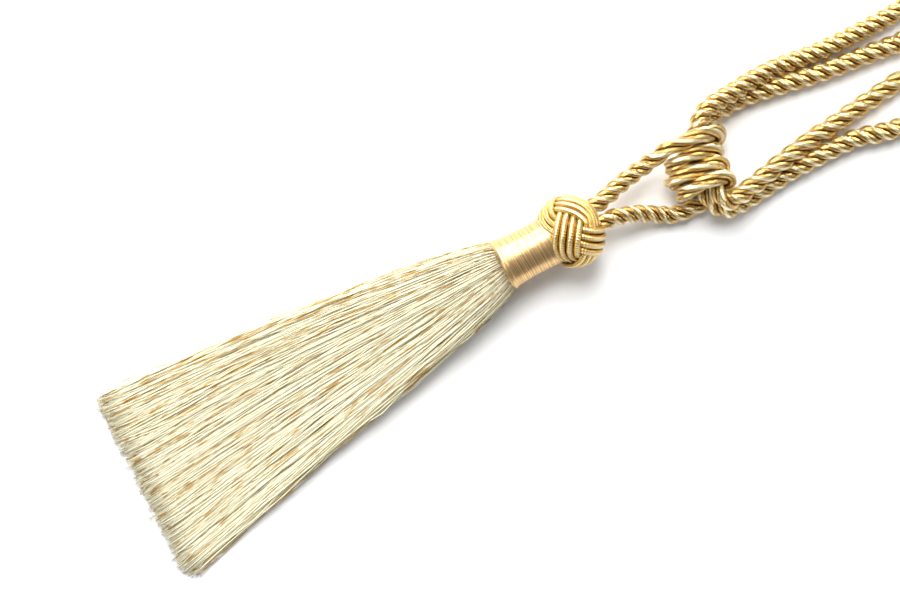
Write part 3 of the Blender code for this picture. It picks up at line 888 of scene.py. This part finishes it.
def yarn_route(length, chance, root, lane, layer):
    """One yarn, a little wavy, drawn into a clump with its neighbours near its end."""
    side, level = root
    clump = lane / CLUMP_WIDTH + chance.uniform(-CLUMP_SHIFT, CLUMP_SHIFT)
    centre = round(clump) * CLUMP_WIDTH
    lane += chance.gauss(0, LANE_SCATTER)
    lane += (centre - lane) * chance.uniform(0.0, CLUMP_PULL)
    reach = length + LENGTH_EXTRA - lane * LENGTH_SLANT + chance.gauss(0, LENGTH_SCATTER)
    height = LOWEST_YARN + layer * LAYER_LIFT + chance.uniform(0, LIFT_SCATTER)
    swing = chance.gauss(0, WAVE_SIZE)
    phase = chance.uniform(0, 2 * math.pi)
    waves = chance.uniform(*WAVES)
    ripple = chance.gauss(0, RIPPLE_SIZE)
    cross = chance.gauss(0, CROSSING[1] if chance.random() < LOOSE_SHARE else CROSSING[0])
    stray = chance.gauss(0, STRAY_REACH) if chance.random() < STRAY_SHARE else 0.0
    start = COLLAR_END + ROOT_DEPTH
    route = []
    for share in YARN_STATIONS:
        spread = share ** FAN_POWER
        bow = BOW[0] + BOW[1] * math.sin(math.pi * min(share * BOW_RATE, 1.0))
        ease = eased(share, 0, WAVE_START)
        wave = swing * math.sin(2 * math.pi * waves * share + phase) * ease
        wave += ripple * math.sin(
            2 * math.pi * RIPPLE_RATE * waves * share + 2 * phase) * ease
        puff = 1.0 + PUFF * math.sin(math.pi * min(share / PUFF_SHARE, 1.0)) * (1 - spread)
        inner = side * puff + COLLAR_SHIFT
        across = inner + (lane + bow - inner) * spread + wave + cross * (share - 0.5) * ease
        across += stray * eased(share, *TIP)
        drop = level * puff + COLLAR_CENTRE.z
        lift = drop + (height - drop) * share ** FALL_POWER
        route.append((
            start - share * (reach + ROOT_DEPTH), COLLAR_CENTRE.y + across, lift))
    return route


def fringe_mesh(fringe):
    """All the yarns as one mesh, each with a tone of its own."""
    outline = flat_outline("yarn_outline", round_points(fringe.yarn_width / 2, YARN_SIDES))
    routes, tones = fringe_routes(fringe)
    widths = [
        ROOT_WIDTH + WIDTH_GAIN * min(station / WIDEST_STATION, 1.0)
        for station in range(len(YARN_STATIONS))]
    mesh = swept("fringe_yarns", outline, routes, widths=widths)
    # The mesh holds both end faces of each yarn first, from the last yarn to the first, and then
    # the sides of each yarn from the first on.
    caps = 2 * len(routes)
    sides = YARN_SIDES * (len(YARN_STATIONS) - 1)
    tone = mesh.attributes.new("tone", "FLOAT", "FACE")
    values = [tones[len(routes) - 1 - index // 2] for index in range(caps)]
    values += [tones[(index - caps) // sides] for index in range(caps, len(mesh.polygons))]
    tone.data.foreach_set("value", values)
    return mesh


def rayon_yarn(fringe):
    """Pale twisted rayon: cream, with honey-coloured yarns among it and near the roots."""
    finish = Finish(
        "pale_fringe_yarn", Roughness=0.40, Metallic=0.0, Coat_Weight=0.15,
        Coat_Roughness=0.25)
    along, around, _ = finish.uv()
    tone = finish.attribute("tone")
    # Each yarn's tone also picks its own part of the streaks.
    drift = finish.streaks(along * 22.0 + tone * 700.0, 1.0, 0.5)
    root = finish.ramp(along, [(0.0, 0.6), (0.16, 0.0)])
    honey = finish.ramp(tone + (drift - 0.5) * 2.4, [(0.58, 0.0), (1.0, 1.0)])
    share = finish.add("ShaderNodeMath", {"operation": "ADD", "use_clamp": True}, {
        0: honey, 1: root})
    finish.shade("Base Color", finish.mix(share, rgba(fringe.cream), rgba(fringe.honey)))
    finish.bump((along * 190.0 + around).wave(), 0.0001, 0.5)
    return finish.material


# Stage


def view_direction(turn, right, up):
    """A direction on the floor given by the camera's right and up."""
    return Vector((
        right * math.cos(turn) - up * math.sin(turn),
        right * math.sin(turn) + up * math.cos(turn), 0.0))


def add_camera(scene, stage):
    """A camera that looks straight down."""
    data = bpy.data.cameras.new("camera")
    data.sensor_width = SENSOR_WIDTH
    data.lens = stage.lens
    camera = placed("camera", data)
    camera.location = (*VIEW_MIDDLE, stage.view_width * stage.lens / SENSOR_WIDTH)
    camera.rotation_euler = (0, 0, stage.turn)
    scene.camera = camera


def add_floor(stage):
    bm = bmesh.new()
    bmesh.ops.create_grid(bm, x_segments=1, y_segments=1, size=FLOOR_REACH)
    mesh = mesh_of("floor", bm)
    finish = Finish("pale_floor", Roughness=0.6)
    finish.shader.inputs["Base Color"].default_value = rgba(stage.floor)
    mesh.materials.append(finish.material)
    placed("floor", mesh)


def add_lights(scene, stage):
    """Even light from all round, and soft boxes that all face the middle of the floor."""
    scene.view_settings.view_transform = "Standard"
    world = bpy.data.worlds.new("soft_room")
    world.use_nodes = True
    background = world.node_tree.nodes["Background"]
    background.inputs["Color"].default_value = (1, 1, 1, 1)
    background.inputs["Strength"].default_value = ROOM_LIGHT
    scene.world = world
    for name, right, up, height, size, power in SOFT_BOXES:
        data = bpy.data.lights.new(name, "AREA")
        data.size = size
        data.energy = power
        lamp = placed(name, data)
        lamp.location = view_direction(stage.turn, right, up) + Vector((0, 0, height))
        lamp.rotation_euler = (-lamp.location).to_track_quat("-Z", "Y").to_euler()


# Operators


class StageOperator(bpy.types.Operator):
    """Set up the floor, the soft lights and the camera"""
    bl_idname = "tieback.stage"
    bl_label = "Stage"

    def execute(self, context):
        stage = context.scene.tieback_stage
        add_camera(context.scene, stage)
        add_floor(stage)
        add_lights(context.scene, stage)
        return {"FINISHED"}


class EmbraceRopeOperator(bpy.types.Operator):
    """Lay the doubled rope that goes round the curtain"""
    bl_idname = "tieback.embrace_rope"
    bl_label = "Embrace rope"

    def execute(self, context):
        rope = context.scene.tieback_rope
        route, lays = embrace_route(rope)
        material = satin_rope("satin_embrace_rope", rope, route_length(route))
        laid_rope(
            "laid_embrace_rope", route, rope.diameter, lays, rope, material, 1.0,
            "embrace_rope")
        return {"FINISHED"}


class LoopRopeOperator(bpy.types.Operator):
    """Lay the rope that leaves the head and is wound into the coil knot"""
    bl_idname = "tieback.loop_rope"
    bl_label = "Loop rope and coil knot"

    def execute(self, context):
        rope = context.scene.tieback_rope
        route = loop_route()
        material = satin_rope("satin_loop_rope", rope, route_length(route))
        laid_rope(
            "laid_loop_rope", route, rope.loop_diameter, [LEG_LAY] * len(route), rope, material,
            KNOT_UNTWIST, "loop_leg_upper", "coil_knot", "loop_leg_lower")
        return {"FINISHED"}


class HeadOperator(bpy.types.Operator):
    """Plait the cords of the head over its former"""
    bl_idname = "tieback.head"
    bl_label = "Plaited head"

    def execute(self, context):
        head = context.scene.tieback_head
        routes = plaited_routes(head)
        material = plaited_cord(head, route_length(routes[0]))
        reach = CORD_REACH * head.cord_width
        outline = flat_outline("cord_outline", round_points(reach, CORD_SIDES))
        mesh = swept("plaited_head", outline, routes, cyclic=True)
        mark_crowns(mesh, routes, reach)
        finished("plaited_head", mesh, material, "plaited_cord", "head")
        finished("head_core", head_core(head), core_painted_shade(head), "plaited_cord", "head")
        return {"FINISHED"}


class CollarOperator(bpy.types.Operator):
    """Wind the collar with satin thread"""
    bl_idname = "tieback.collar"
    bl_label = "Wound collar"

    def execute(self, context):
        collar = context.scene.tieback_collar
        mesh = wound_collar(collar)
        finished("wound_collar", mesh, wound_thread(collar), "wound_thread", "collar")
        return {"FINISHED"}


class FringeOperator(bpy.types.Operator):
    """Lay out the yarns of the fringe"""
    bl_idname = "tieback.fringe"
    bl_label = "Fringe"

    def execute(self, context):
        fringe = context.scene.tieback_fringe
        mesh = fringe_mesh(fringe)
        finished("fringe_yarns", mesh, rayon_yarn(fringe), "fringe_yarn", "skirt")
        return {"FINISHED"}


class TiebackPanel(bpy.types.Panel):
    """Lists the pieces of the tieback"""
    bl_idname = "VIEW3D_PT_tieback"
    bl_label = "Curtain tieback"
    bl_space_type = "VIEW_3D"
    bl_region_type = "UI"
    bl_category = "Tieback"

    def draw(self, context):
        for name, kind in SETTINGS.items():
            box = self.layout.box()
            settings = getattr(context.scene, name)
            for prop in kind.__annotations__:
                box.prop(settings, prop)
        for operator in OPERATORS:
            self.layout.operator(operator.bl_idname)


SETTINGS = {
    "tieback_stage": StageSettings,
    "tieback_rope": RopeSettings,
    "tieback_head": HeadSettings,
    "tieback_collar": CollarSettings,
    "tieback_fringe": FringeSettings,
}
OPERATORS = (
    StageOperator, EmbraceRopeOperator, LoopRopeOperator, HeadOperator, CollarOperator,
    FringeOperator,
)


def register():
    for kind in (*SETTINGS.values(), *OPERATORS, TiebackPanel):
        bpy.utils.register_class(kind)
    for name, kind in SETTINGS.items():
        setattr(bpy.types.Scene, name, PointerProperty(type=kind))


def unregister():
    for name in SETTINGS:
        delattr(bpy.types.Scene, name)
    for kind in reversed((*SETTINGS.values(), *OPERATORS, TiebackPanel)):
        bpy.utils.unregister_class(kind)


def main():
    register()
    bpy.ops.tieback.stage()
    bpy.ops.tieback.embrace_rope()
    bpy.ops.tieback.loop_rope()
    bpy.ops.tieback.head()
    bpy.ops.tieback.collar()
    bpy.ops.tieback.fringe()


if __name__ == "__main__":
    main()
